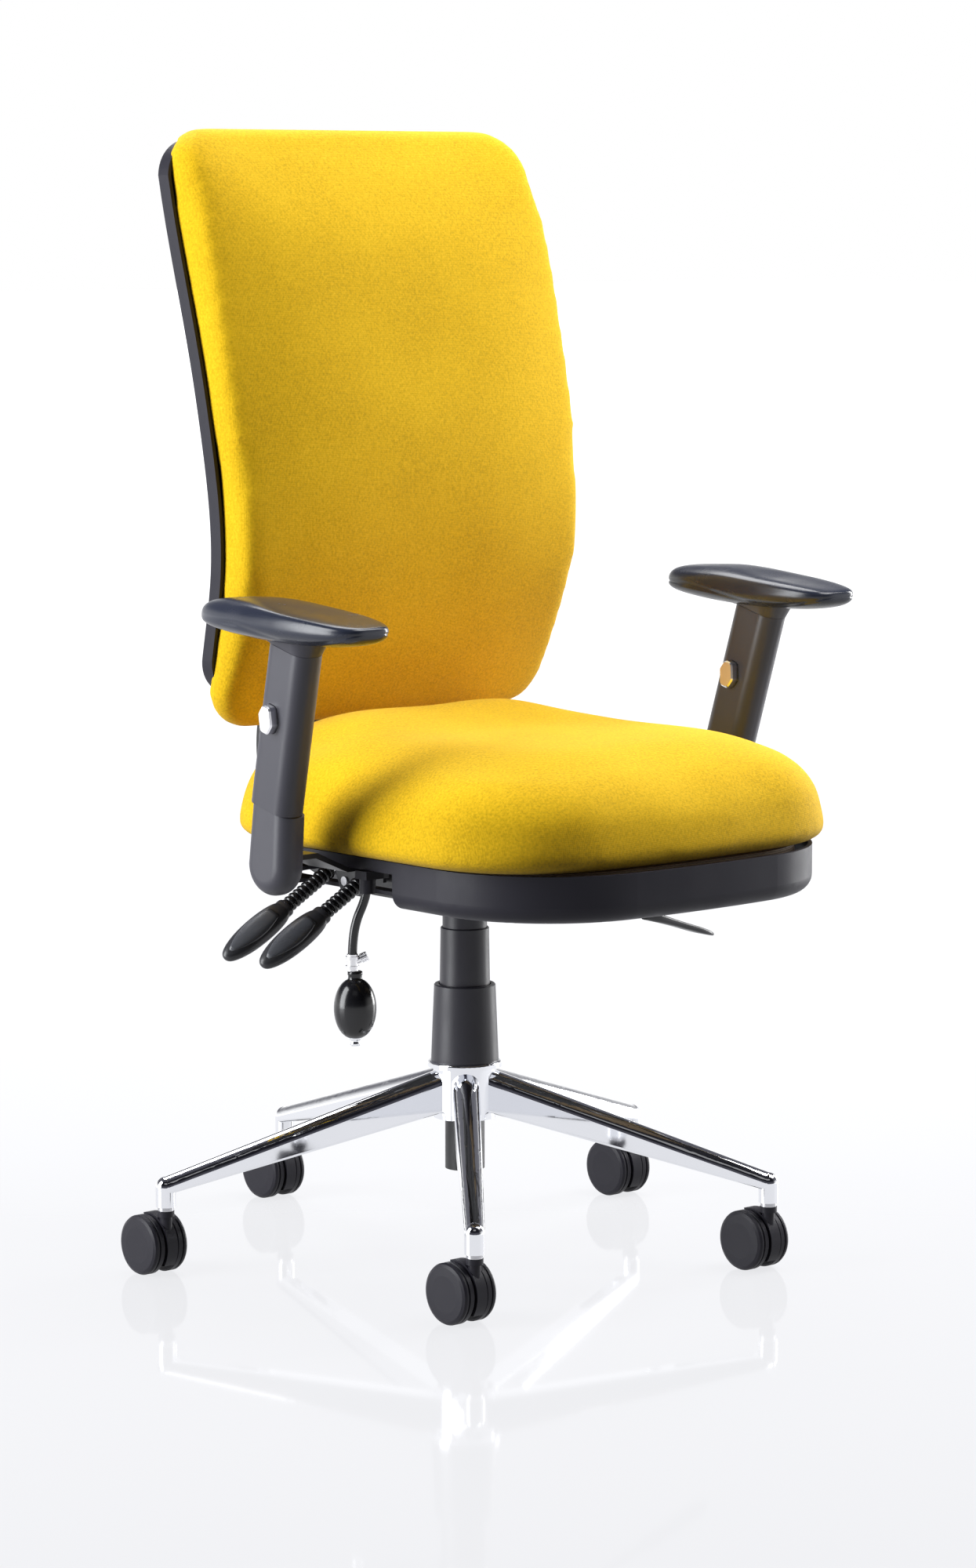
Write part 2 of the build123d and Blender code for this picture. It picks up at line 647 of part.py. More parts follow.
def pump_valve(hose):
    x, y = hose_route[-1][:2]
    body = rod(5.5, *valve_z, x, y) + rod(6.6, 329, 332, x, y) + rod(6.6, 338, 341, x, y)
    return body + screw_place() * Cylinder(3.6, 9, align=BASE) - hose


def screw_place():
    """Side branch of the valve: starts inside the body, leans up and away from it."""
    x, y = hose_route[-1][:2]
    away = Vector(0.755 * cos(radians(25)), -0.656 * cos(radians(25)), sin(radians(25)))
    return Location(Plane(origin=(x, y, 335), z_dir=away))


def release_screw():
    knob = Pos(0, 0, 9 + GAP) * Cylinder(4.6, 6.5, align=BASE)
    grooves = [Rot(0, 0, k * 30) * Pos(4.9, 0, 9) * Cylinder(0.7, 8, align=BASE) for k in range(12)]
    for groove in grooves:
        knob -= groove
    return screw_place() * knob


def pump_bulb():
    x, y = bulb_axis
    low, high = bulb_z
    side = Spline((0, low), (bulb_r, (low + high) / 2), (0, high), tangents=[(1, 0), (-1, 0)])
    egg = revolve(Plane.XZ * make_face([side, Line(side @ 1, side @ 0)]), Axis.Z)
    return Pos(x, y, 0) * (egg + rod(6.8, high - 3, valve_z[0]))


def inlet_valve(bulb):
    x, y = bulb_axis
    return rod(5.6, 254, 268, x, y) - rod(2.0, 250, 258, x, y) - bulb


# ---- write every sub-part -----------------------------------------------------------------------
def main():
    os.makedirs("parts", exist_ok=True)
    write("star_base", star_base())
    write("castor_stems", *[Pos(*stem_place(k), 0) * castor_stem() for k in range(leg_count)])
    housing, wheels = castor_housing(), castor_wheels()
    for k, name in enumerate(castor_names):
        place = Pos(*stem_place(k), 0)
        write(f"castor_housing_{name}", place * housing)
        write(f"castor_wheels_{name}", *[place * piece for piece in wheels])

    cylinder = gas_cylinder()
    write("column_tube", column_tube())
    write("column_bush", ring(tube_r - tube_wall, cylinder_r + FIT, 200, 298))
    write("piston_rod", piston_rod(), ring(9, 4.0, 90.5, 92.9))
    write("thrust_bearing", ring(13, 4.0 + FIT, 97, 102.9))
    write("gas_cylinder", cylinder)
    write("valve_pin", rod(pin_r, 352, 396.3))
    write("cover_lower", column_cover(cover_low_r, cover_low_z, 2.5, 26.7, 0))
    write("cover_middle", column_cover(cover_mid_r, cover_mid_z, 1.2, 22.9, 27.8))
    write("cover_top", column_cover((cover_top_r, cover_top_r), cover_top_z, 1.6, cylinder_r + GAP, 23.0))

    write("mechanism_housing", mechanism_housing(cylinder))
    write("pivot_pins", cross_rod(shaft_r, (-74, 74), *tilt_pivot),
          fore_rod(pin_r, lever_hub[0], (-13.5, 13.5), lever_hub[1]))
    write("height_lever", height_lever())

    write("seat_plate", seat_plate())
    write("recline_shaft", cross_rod(shaft_r, (-66, 66), *recline_pivot))
    write("seat_board", seat_board())
    write("seat_bolts", *seat_bolts())
    write("seat_shell", seat_shell())
    write("seat_cushion", seat_cushion())
    write("lever_bracket", lever_bracket())
    for name, y in lever_y.items():
        shaft, boot = lever_rod(y), lever_boot(y)
        write(f"{name}_lever_rod", shaft)
        write(f"{name}_lever_boot", boot)
        write(f"{name}_lever_grip", lever_grip(y, boot, shaft))

    for name, side in (("right", RIGHT), ("left", LEFT)):
        bracket, support = arm_bracket(side), arm_support(side)
        write(f"arm_bracket_{name}", bracket)
        write(f"arm_boot_{name}", arm_boot(side, bracket))
        write(f"arm_sleeve_{name}", arm_sleeve(side, bracket))
        write(f"arm_button_{name}", arm_button(side))
        write(f"arm_support_{name}", support)
        write(f"arm_pad_{name}", arm_pad(side, support))

    shell = back_shell()
    write("back_bar", back_bar())
    write("back_shell", shell)
    write("back_cushion", back_cushion(shell))
    write("lumbar_bladder", bladder_zone(0))
    write("back_carrier", back_carrier(shell))

    hose, bulb = air_hose(), pump_bulb()
    write("air_hose", hose)
    write("hose_gland", hose_gland(hose))
    write("pump_valve", pump_valve(hose))
    write("release_screw", release_screw())
    write("pump_bulb", bulb)
    write("inlet_valve", inlet_valve(bulb))


castor_names = ("front_right", "front", "left", "rear", "rear_right")

main()
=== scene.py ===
# %% [markdown]
# # A high-back operator chair
# The chair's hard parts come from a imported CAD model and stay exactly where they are. This lesson
# gives them their finishes, and makes the parts that CAD is poor at: padded cushions, soft arm
# pads, rubber bellows, moulded grips and the lumbar pump's hose. Everything is in metres, +Z up,
# and the chair faces -Y, so the sitter's right hand is at -X.

# %% Load the frame
import json
import math
import bpy
import bmesh
import numpy as np
from mathutils import Matrix, Vector


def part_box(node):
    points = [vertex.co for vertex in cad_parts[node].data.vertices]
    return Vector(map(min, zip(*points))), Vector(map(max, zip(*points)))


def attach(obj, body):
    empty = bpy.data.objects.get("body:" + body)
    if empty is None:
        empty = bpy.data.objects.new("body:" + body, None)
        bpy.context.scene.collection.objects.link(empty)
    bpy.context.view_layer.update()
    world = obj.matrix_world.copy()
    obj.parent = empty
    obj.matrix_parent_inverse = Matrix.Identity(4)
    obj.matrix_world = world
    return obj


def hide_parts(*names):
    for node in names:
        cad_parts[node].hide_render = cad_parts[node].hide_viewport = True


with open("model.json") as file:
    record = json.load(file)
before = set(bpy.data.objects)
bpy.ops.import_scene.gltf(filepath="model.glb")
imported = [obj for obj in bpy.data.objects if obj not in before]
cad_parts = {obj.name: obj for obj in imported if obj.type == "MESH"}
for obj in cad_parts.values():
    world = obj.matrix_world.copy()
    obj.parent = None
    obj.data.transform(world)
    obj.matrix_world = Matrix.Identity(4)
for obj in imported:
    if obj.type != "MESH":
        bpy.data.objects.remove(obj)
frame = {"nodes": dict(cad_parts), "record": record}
scene = bpy.context.scene
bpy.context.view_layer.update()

# %% [markdown]
# ## Camera
# A chair is shown best from a few metres away with a long lens, a little above the seat, so that
# its uprights stay nearly parallel. A short lens close by would fill the frame too, but it makes
# the near castor big and the back lean. The camera comes first, because the hose is checked
# against its view.

# %% Camera
def direction(azimuth, elevation):
    """Unit vector towards a place seen from the chair: azimuth from -Y towards +X, in degrees."""
    a, e = math.radians(azimuth), math.radians(elevation)
    return Vector((math.sin(a) * math.cos(e), -math.cos(a) * math.cos(e), math.sin(e)))


aim = Vector((0.01767, -0.01535, 0.4784))
view_azimuth, view_elevation, view_distance = -41.0, 7.24, 4.6257
focal_length = 105.84
farthest_seen = 60

camera = bpy.data.objects.new("camera", bpy.data.cameras.new("camera"))
scene.collection.objects.link(camera)
camera.location = aim + direction(view_azimuth, view_elevation) * view_distance
camera.rotation_euler = (aim - camera.location).to_track_quat("-Z", "Y").to_euler()
camera.data.lens = focal_length
camera.data.clip_end = farthest_seen
scene.camera = camera
print("camera", tuple(round(v, 4) for v in camera.location))

# %% [markdown]
# ## Finishes
# Each finish is one node tree. The wool is two crossed sets of threads, broken up by noise, with
# a little sheen from its fibres. Moulded plastic is nearly smooth with a spark-eroded grain.
# Chrome is a plain mirror whose interest comes from the lights. Image textures could do the same,
# but they need files and an unwrapped surface. Patterns on Object coordinates need neither, and
# they stay the same size on every piece.

# %% Node helpers
def finish(name, colour, roughness, metallic=0.0, **sockets):
    """New material with a Principled shader, its tree and that shader."""
    made = bpy.data.materials.new(name)
    made.use_nodes = True
    tree = made.node_tree
    shader = tree.nodes["Principled BSDF"]
    shader.inputs["Base Color"].default_value = (*colour, 1)
    shader.inputs["Roughness"].default_value = roughness
    shader.inputs["Metallic"].default_value = metallic
    for socket, value in sockets.items():
        shader.inputs[socket.replace("_", " ")].default_value = value
    return made, tree, shader


def grain(tree, scale, detail=2.0):
    """Noise on Object coordinates; scale is in features per metre."""
    place = tree.nodes.new("ShaderNodeTexCoord")
    noise = tree.nodes.new("ShaderNodeTexNoise")
    noise.inputs["Scale"].default_value = scale
    noise.inputs["Detail"].default_value = detail
    tree.links.new(place.outputs["Object"], noise.inputs["Vector"])
    return noise.outputs["Fac"]


def bump(tree, shader, height, strength, distance):
    """Feed a height into the shader's normal."""
    node = tree.nodes.new("ShaderNodeBump")
    node.inputs["Strength"].default_value = strength
    node.inputs["Distance"].default_value = distance
    tree.links.new(height, node.inputs["Height"])
    tree.links.new(node.outputs["Normal"], shader.inputs["Normal"])


def ramp(tree, value, stops):
    """Colour ramp from (place, colour) stops."""
    node = tree.nodes.new("ShaderNodeValToRGB")
    band = node.color_ramp
    while len(band.elements) < len(stops):
        band.elements.new(0.5)
    for element, (place, colour) in zip(band.elements, stops):
        element.position = place
        element.color = (*colour, 1) if len(colour) == 3 else colour
    tree.links.new(value, node.inputs["Fac"])
    return node.outputs["Color"]


def maths(tree, operation, a, b):
    """Math node on two sockets or numbers."""
    node = tree.nodes.new("ShaderNodeMath")
    node.operation = operation
    for socket, value in zip(node.inputs, (a, b)):
        if isinstance(value, (int, float)):
            socket.default_value = value
        else:
            tree.links.new(value, socket)
    return node.outputs[0]


# %% Yellow wool
def threads(tree, axis, scale):
    """One set of parallel threads."""
    place = tree.nodes.new("ShaderNodeTexCoord")
    wave = tree.nodes.new("ShaderNodeTexWave")
    wave.bands_direction = axis
    wave.inputs["Scale"].default_value = scale
    wave.inputs["Distortion"].default_value = 1.5
    wave.inputs["Detail"].default_value = 1.0
    wave.inputs["Detail Scale"].default_value = 3.0
    tree.links.new(place.outputs["Object"], wave.inputs["Vector"])
    return wave.outputs["Fac"]


fibre_scale, cloud_scale, thread_scale = 420, 9, 260
wool_shades = [(0.33, (0.58, 0.345, 0.001)), (0.5, (0.73, 0.445, 0.003)),
               (0.68, (0.84, 0.53, 0.010))]
wool, tree, shader = finish("yellow_wool", (0.76, 0.47, 0.006), 0.85,
                            Sheen_Weight=0.12, Sheen_Roughness=0.45, Specular_IOR_Level=0.15)
shader.inputs["Sheen Tint"].default_value = (1.0, 0.90, 0.62, 1)
mottle = grain(tree, fibre_scale, 3)
cloud = grain(tree, cloud_scale, 2)
mixed = maths(tree, "ADD", maths(tree, "MULTIPLY", mottle, 0.75),
              maths(tree, "MULTIPLY", cloud, 0.25))
tree.links.new(ramp(tree, mixed, wool_shades), shader.inputs["Base Color"])
weave = maths(tree, "ADD", threads(tree, "X", thread_scale), threads(tree, "Z", thread_scale))
weave = maths(tree, "ADD", maths(tree, "MULTIPLY", weave, 0.5), mottle)
bump(tree, shader, weave, 0.35, 0.0006)
print("wool made of", len(tree.nodes), "nodes")

# %% Plastics, rubber and leather-like skin
cloudiness_scale = 30


def moulded(name, colour, roughness, grain_scale, strength, gloss_level=0.5):
    """Moulded surface: even colour, faint cloudiness in its gloss and a fine erosion grain."""
    made, tree, shader = finish(name, colour, roughness, Specular_IOR_Level=gloss_level)
    gloss = ramp(tree, grain(tree, cloudiness_scale, 3),
                 [(0.3, (roughness - 0.05,) * 3), (0.7, (roughness + 0.06,) * 3)])
    tree.links.new(gloss, shader.inputs["Roughness"])
    bump(tree, shader, grain(tree, grain_scale, 1), strength, 0.0003)
    return made


arm_plastic = moulded("arm_plastic", (0.040, 0.039, 0.052), 0.42, 900, 0.12)
shell_plastic = moulded("shell_plastic", (0.020, 0.019, 0.027), 0.46, 800, 0.16, 0.22)
cover_plastic = moulded("cover_plastic", (0.020, 0.019, 0.027), 0.40, 900, 0.12)
castor_plastic = moulded("castor_nylon", (0.019, 0.018, 0.025), 0.44, 1100, 0.10, 0.24)
grip_plastic = moulded("grip_plastic", (0.030, 0.030, 0.034), 0.34, 900, 0.08)
inset_plastic = moulded("grip_inset", (0.075, 0.078, 0.088), 0.30, 700, 0.05)
pad_skin = moulded("pad_skin", (0.018, 0.022, 0.038), 0.24, 520, 0.10)
powder_black = moulded("powder_black", (0.016, 0.016, 0.018), 0.36, 1500, 0.20)
black_rubber = moulded("black_rubber", (0.010, 0.010, 0.012), 0.16, 600, 0.03)
print("moulded finishes made")

# %% Metals and wood
chrome, tree, shader = finish("chrome_plate", (0.86, 0.87, 0.90), 0.05, 1.0)
smear = ramp(tree, grain(tree, 22, 3), [(0.35, (0.035,) * 3), (0.75, (0.085,) * 3)])
tree.links.new(smear, shader.inputs["Roughness"])

satin = finish("satin_nickel", (0.88, 0.88, 0.90), 0.28, 1.0)[0]

steel, tree, shader = finish("machined_steel", (0.50, 0.50, 0.52), 0.32, 1.0)
bump(tree, shader, threads(tree, "Z", 500), 0.08, 0.0002)

plywood, tree, shader = finish("plywood", (0.36, 0.25, 0.14), 0.6)
plies = ramp(tree, threads(tree, "Z", 130), [(0.2, (0.24, 0.15, 0.08)), (0.8, (0.46, 0.33, 0.19))])
tree.links.new(plies, shader.inputs["Base Color"])
print("finishes", len(bpy.data.materials))

# %% [markdown]
# ## Finishes on the CAD parts
# A CAD part keeps its mesh and its place, and only its material slots change. Each part could be
# given its finish by name, but the record already says which slot a part belongs to, so one table
# from slot to finish covers them all.

# %% Put the finishes on
by_slot = {
    "base_chrome": chrome, "bright_chrome": satin, "steel": steel, "column_black": powder_black,
    "cover_plastic": cover_plastic, "castor_plastic": castor_plastic,
    "wheel_plastic": castor_plastic, "mechanism_black": powder_black,
    "bar_black": powder_black, "shell_plastic": shell_plastic, "arm_plastic": arm_plastic,
    "pad_skin": pad_skin, "fabric_yellow": wool, "board_wood": plywood,
    "black_rubber": black_rubber, "grip_plastic": grip_plastic,
}
slot_of = {part["node"]: part["material_slot"] for part in frame["record"]["subparts"]}
for name, node in frame["nodes"].items():
    node.data.materials.clear()
    node.data.materials.append(by_slot[slot_of[name]])
print("CAD parts with a finish", len(frame["nodes"]))

# %% Mesh helpers
def piece(name, verts, faces, body, material, slot):
    """New object from points and faces, outward-facing, riding on a body."""
    mesh = bpy.data.meshes.new(name)
    mesh.from_pydata([tuple(v) for v in verts], [], faces)
    tidy = bmesh.new()
    tidy.from_mesh(mesh)
    bmesh.ops.remove_doubles(tidy, verts=tidy.verts, dist=1e-6)
    bmesh.ops.recalc_face_normals(tidy, faces=tidy.faces)
    tidy.to_mesh(mesh)
    tidy.free()
    mesh.materials.append(material)
    mesh.polygons.foreach_set("use_smooth", [True] * len(mesh.polygons))
    obj = bpy.data.objects.new(name, mesh)
    scene.collection.objects.link(obj)
    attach(obj, body)
    return obj


def loft(rings):
    """Points and faces of a closed tube through rings of equal length."""
    n = len(rings[0])
    verts = [v for ring in rings for v in ring]
    faces = []
    for j in range(len(rings) - 1):
        for i in range(n):
            a, b = j * n + i, j * n + (i + 1) % n
            faces.append((a, b, b + n, a + n))
    faces.append(tuple(range(n - 1, -1, -1)))
    faces.append(tuple(range((len(rings) - 1) * n, len(rings) * n)))
    return verts, faces


def lathe(profile, place=Matrix.Identity(4), steps=48):
    """Points and faces of a turned shape from (radius, height) points."""
    turns = [2 * math.pi * i / steps for i in range(steps)]
    return loft([[place @ Vector((radius * math.cos(a), radius * math.sin(a), height))
                  for a in turns] for radius, height in profile])


def smoothstep(low, high, value):
    """0 below low, 1 above high, and an even curve between."""
    t = np.clip((value - low) / (high - low), 0, 1)
    return t * t * (3 - 2 * t)


def evaluated(obj):
    """Plain mesh of an object with its modifiers applied."""
    graph = bpy.context.evaluated_depsgraph_get()
    return bpy.data.meshes.new_from_object(obj.evaluated_get(graph))


# %% [markdown]
# ## Lumbar pump
# A short rubber hose leaves a gland under the seat and hangs under the weight of its bulb. It
# could be a chain of bent tubes, but a hose bends evenly, so its line is a NURBS curve whose
# control points are the route's own points. The order and the end rule are set after the points,
# because before them they have no effect. The bulb and its inlet valve are turned shapes, made
# from one profile each.

# %% Hose
hose_radius = 0.0045
hose_points = [(-0.2189, -0.1115, 0.414), (-0.2194, -0.1111, 0.403), (-0.2220, -0.1088, 0.391),
               (-0.2266, -0.1048, 0.377), (-0.2294, -0.1024, 0.359), (-0.2298, -0.1020, 0.343)]
hose_data = bpy.data.curves.new("air_hose_skin", "CURVE")
hose_data.dimensions = "3D"
line = hose_data.splines.new("NURBS")
line.points.add(len(hose_points) - 1)
for point, place in zip(line.points, hose_points):
    point.co = (*place, 1)
line.order_u = 3
line.use_endpoint_u = True
line.resolution_u = 16
hose_data.bevel_depth = hose_radius
hose_data.bevel_resolution = 6
hose_data.use_fill_caps = True
hose_data.materials.append(black_rubber)
hose = bpy.data.objects.new("air_hose_skin", hose_data)
scene.collection.objects.link(hose)
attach(hose, "seat")
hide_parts("air_hose")
print("hose has", len(hose_points), "route points")

# %% Bulb, collar and inlet valve
bulb_axis = Matrix.Translation((-0.228, -0.1036, 0))
bulb_radius, bulb_half, bulb_middle = 0.0205, 0.0295, 0.2905
egg = [(bulb_radius * math.cos(a) ** 0.86, bulb_middle + bulb_half * math.sin(a))
       for a in [math.radians(d) for d in range(-88, 76, 4)]]
collar = [(0.0068, 0.3196), (0.0066, 0.3225), (0.0072, 0.3232), (0.0072, 0.3262), (0.0055, 0.327)]
bulb = piece("bulb_skin", *lathe(egg + collar, bulb_axis), "seat", black_rubber, "black_rubber")
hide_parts("pump_bulb")
inlet_profile = [(0.0018, 0.2585), (0.0018, 0.2545), (0.0040, 0.2541), (0.0050, 0.2550),
                 (0.0050, 0.2570), (0.0043, 0.2580), (0.0043, 0.2592), (0.0056, 0.2602),
                 (0.0056, 0.2640), (0.0040, 0.2650)]
inlet = piece("inlet_skin", *lathe(inlet_profile, bulb_axis), "seat", chrome, "bright_chrome")
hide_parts("inlet_valve")
print("bulb and inlet valve", len(bulb.data.polygons) + len(inlet.data.polygons), "faces")

# %% [markdown]
# ## Cushions
# A moulded-foam cushion under stretched wool is a crowned closed form with soft corners. It could
# be a subdivided box, but its outline has to follow the hard shell. So a copy of the CAD solid is
# remeshed to an even grid, shaped, and blown up a little as cloth, which rounds it the way that
# fabric rounds foam. Points against the hard shell are held, so the joint stays put.

# %% Cushion helpers
cloth_frames = 20
evening_rounds = 60


def grid_copy(node, name, voxel):
    """Closed, even copy of a CAD part."""
    source = frame["nodes"][node]
    copy = bpy.data.objects.new(name, source.data.copy())
    scene.collection.objects.link(copy)
    tidy = bmesh.new()
    tidy.from_mesh(copy.data)
    bmesh.ops.remove_doubles(tidy, verts=tidy.verts, dist=1e-5)
    tidy.to_mesh(copy.data)
    tidy.free()
    remesh = copy.modifiers.new("remesh", "REMESH")
    remesh.mode = "VOXEL"
    remesh.voxel_size = voxel
    copy.data = evaluated(copy)
    copy.modifiers.clear()
    return copy


def points_of(obj):
    """Vertex positions as rows of x, y and z."""
    co = np.empty(len(obj.data.vertices) * 3)
    obj.data.vertices.foreach_get("co", co)
    return co.reshape(-1, 3)


def set_points(obj, co):
    """Write such rows back."""
    obj.data.vertices.foreach_set("co", co.reshape(-1))
    obj.data.update()


def relax(obj, rounds):
    """Even out a surface by smoothing it a few times."""
    smooth = obj.modifiers.new("relax", "SMOOTH")
    smooth.factor = 0.5
    smooth.iterations = rounds
    obj.data = evaluated(obj)
    obj.modifiers.clear()


def neighbour_mean(obj, values):
    """Average of each point's neighbours, itself included, for three columns of values."""
    ends = np.empty(len(obj.data.edges) * 2, dtype=np.int64)
    obj.data.edges.foreach_get("vertices", ends)
    a, b = ends.reshape(-1, 2).T
    size = len(values)
    count = 1 + np.bincount(ends, minlength=size)
    total = [values[:, k] + np.bincount(a, values[b, k], size) + np.bincount(b, values[a, k], size)
             for k in range(3)]
    return np.stack(total, axis=1) / count[:, None]


def inflate(obj, held, pressure, cap):
    """Swell a shape as pressurised cloth; held is a weight per point, cap a distance in metres.
    Tight wool over foam has no small folds, so the swelling is evened out between neighbours."""
    group = obj.vertex_groups.new(name="held")
    for i in np.nonzero(held > 0)[0]:
        group.add([int(i)], float(held[i]), "REPLACE")
    cloth = obj.modifiers.new("cloth", "CLOTH")
    cloth.settings.quality = 5
    cloth.settings.mass = 0.3
    cloth.settings.tension_stiffness = 20
    cloth.settings.compression_stiffness = 20
    cloth.settings.bending_stiffness = 3
    cloth.settings.use_pressure = True
    cloth.settings.uniform_pressure_force = pressure
    cloth.settings.vertex_group_mass = "held"
    cloth.settings.effector_weights.gravity = 0
    cloth.point_cache.frame_start = 1
    cloth.point_cache.frame_end = cloth_frames
    before = points_of(obj)
    for frame_number in range(1, cloth_frames + 1):
        scene.frame_set(frame_number)
    moved = evaluated(obj)
    obj.modifiers.clear()
    after = np.empty(len(moved.vertices) * 3)
    moved.vertices.foreach_get("co", after)
    step = after.reshape(-1, 3) - before
    length = np.linalg.norm(step, axis=1, keepdims=True)
    step *= np.minimum(1, cap / np.maximum(length, 1e-9))
    free = 1 - held[:, None]
    for _ in range(evening_rounds):
        step = free * neighbour_mean(obj, step)
    set_points(obj, before + step)
    scene.frame_set(1)
    swelling = float(np.minimum(length, cap).max()) * 1000
    print(obj.name, "swelled by up to", round(swelling, 1), "mm")


def upholster(obj, body, node):
    """Finish a cushion: one subdivision, wool, and its place among the CAD parts."""
    divide = obj.modifiers.new("divide", "SUBSURF")
    divide.levels = divide.render_levels = 1
    obj.data = evaluated(obj)
    obj.modifiers.clear()
    obj.data.materials.clear()
    obj.data.materials.append(wool)
    obj.data.polygons.foreach_set("use_smooth", [True] * len(obj.data.polygons))
    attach(obj, body)
    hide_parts(node)


# %% Seat cushion
half_wide, half_deep, centre_y = 0.246, 0.249, -0.103
edge_drop, sitting_hollow, rear_lift, side_pull = 0.010, 0.003, 0.022, 0.004
seat = grid_copy("seat_cushion", "seat_upholstery", 0.0065)
co = points_of(seat)
x, y, z = co.T  # views of co, so a change to one of them changes co
edge = (np.abs(x / half_wide) ** 3 + np.abs((y - centre_y) / half_deep) ** 3) ** (1 / 3)
top = smoothstep(0.455, 0.515, z)
z -= top * (edge_drop * smoothstep(0.55, 1.0, edge)
            + sitting_hollow * np.exp(-((x / 0.13) ** 2 + ((y + 0.02) / 0.16) ** 2)))
z += top * rear_lift * smoothstep(-0.08, 0.10, y) * (1 - smoothstep(0.10, 0.22, np.abs(x)))
x -= side_pull * np.sign(x) * smoothstep(0.7, 1.0, edge)
set_points(seat, co)
relax(seat, 16)
co = points_of(seat)
inflate(seat, 1 - smoothstep(0.440, 0.456, co[:, 2]), 4.0, 0.016)
relax(seat, 4)
co = points_of(seat)
print("seat from", co.min(0).round(4), "to", co.max(0).round(4))
upholster(seat, "seat", "seat_cushion")

# %% Back cushion
shell_heights = [0.536, 0.602, 0.692, 0.745, 0.815, 0.912, 1.004, 1.096, 1.135]
shell_depths = [0.158, 0.149, 0.126, 0.1225, 0.129, 0.148, 0.175, 0.203, 0.213]
crown, foot_recess, lumbar_swell = 0.010, 0.006, 0.003
back = grid_copy("back_cushion", "back_upholstery", 0.0068)
co = points_of(back)
x, y, z = co.T
ahead = np.clip((np.interp(z, shell_heights, shell_depths) - y) / 0.045, 0, 1)
bulge_across = np.clip(1 - np.abs(x / 0.225) ** 3, 0, 1)
bulge_along = np.sin(np.clip((z - 0.545) / 0.57, 0, 1) * math.pi) ** 0.5
y -= crown * ahead * bulge_across * bulge_along
y += ahead * (foot_recess * (1 - smoothstep(0.55, 0.68, z))
              - lumbar_swell * np.exp(-((z - 0.745) / 0.09) ** 2))
set_points(back, co)
relax(back, 18)
co = points_of(back)
shell_line = np.interp(co[:, 2], shell_heights, shell_depths)
held = smoothstep(0.0, 0.016, co[:, 1] - (shell_line - 0.030))
inflate(back, held, 3.0, 0.010)
relax(back, 4)
co = points_of(back)
print("back from", co.min(0).round(4), "to", co.max(0).round(4))
upholster(back, "back", "back_cushion")

# %% [markdown]
# ## Arm pads
# The pads are soft foam with a smooth skin: a long oval, dished along its top, with a moulding
# seam that dips towards the front. They could be sculpted by hand, but a loft of rounded sections
# along the pad gives all of that from a few numbers, and the same shape serves both arms,
# mirrored.

# %% Arm pads
pad_shift, pad_half_width, pad_middle = 0.009, 0.0430, 0.6675
seam_depth, seam_half_angle = 0.0022, 0.07
pad_stations, section_points = 44, 56


def pad_rings(side):
    """Sections of a pad from its rear to its front; side is -1 for the right arm."""
    low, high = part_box("arm_pad_left" if side > 0 else "arm_pad_right")
    middle_x, rear, front = (low.x + high.x) / 2, high.y, low.y
    rings = []
    for j in range(pad_stations + 1):
        t = j / pad_stations
        bow = math.sin(math.pi * t)
        y = (rear + front) / 2 + pad_shift + math.cos(math.pi * t) * (rear - front) / 2
        taper = 0.92 + 0.08 * math.cos(math.pi * (t - 0.70) * 1.2)
        width = pad_half_width * bow ** 0.46 * taper
        middle = pad_middle - 0.0035 * smoothstep(0.45, 1.0, t)
        top = (0.0225 - 0.0085 * smoothstep(0.42, 0.95, t)) * bow ** 0.42
        under = (0.0165 + 0.0030 * smoothstep(0.2, 0.6, t)) * bow ** 0.62
        dish = bow * (0.0020 + 0.0062 * smoothstep(0.38, 0.62, t))
        seam_dip = 0.80 * math.exp(-((t - 0.66) / 0.20) ** 2)
        ring = []
        for i in range(section_points):
            a = 2 * math.pi * i / section_points
            reach = math.copysign(abs(math.cos(a)) ** 0.78, math.cos(a))
            up = math.sin(a)
            rise = abs(up) ** 0.82
            z = middle + (top if up >= 0 else -under) * rise
            if up >= 0:
                z -= dish * (1 - abs(reach) ** 2.4) * rise
            groove = sum(seam_depth * math.exp(-((a - seam) / seam_half_angle) ** 2)
                         for seam in (math.pi + seam_dip, 2 * math.pi - seam_dip))
            ring.append(Vector((middle_x + side * (width - groove) * reach, y, z)))
        rings.append(ring)
    return rings


for name, side in (("right", -1), ("left", 1)):
    pad = piece(f"arm_pad_skin_{name}", *loft(pad_rings(side)), f"arm_{name}", pad_skin,
                "pad_skin")
    divide = pad.modifiers.new("divide", "SUBSURF")
    divide.levels = divide.render_levels = 1
    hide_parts(f"arm_pad_{name}")
    print(pad.name, len(pad.data.polygons), "faces")

# %% [markdown]
# ## Lever bellows
# Each lever runs through a rubber bellows: the same round bead, again and again along one line.
# An Array modifier could repeat a bead too. Geometry Nodes keep the beads' sizes as named inputs
# of one tree, which both levers share: a line of points, and a ring on each.

# %% Bead row tree
def socket_id(tree, name):
    """Identifier of a tree's named input."""
    return next(s.identifier for s in tree.interface.items_tree
                if s.name == name and s.in_out == "INPUT")


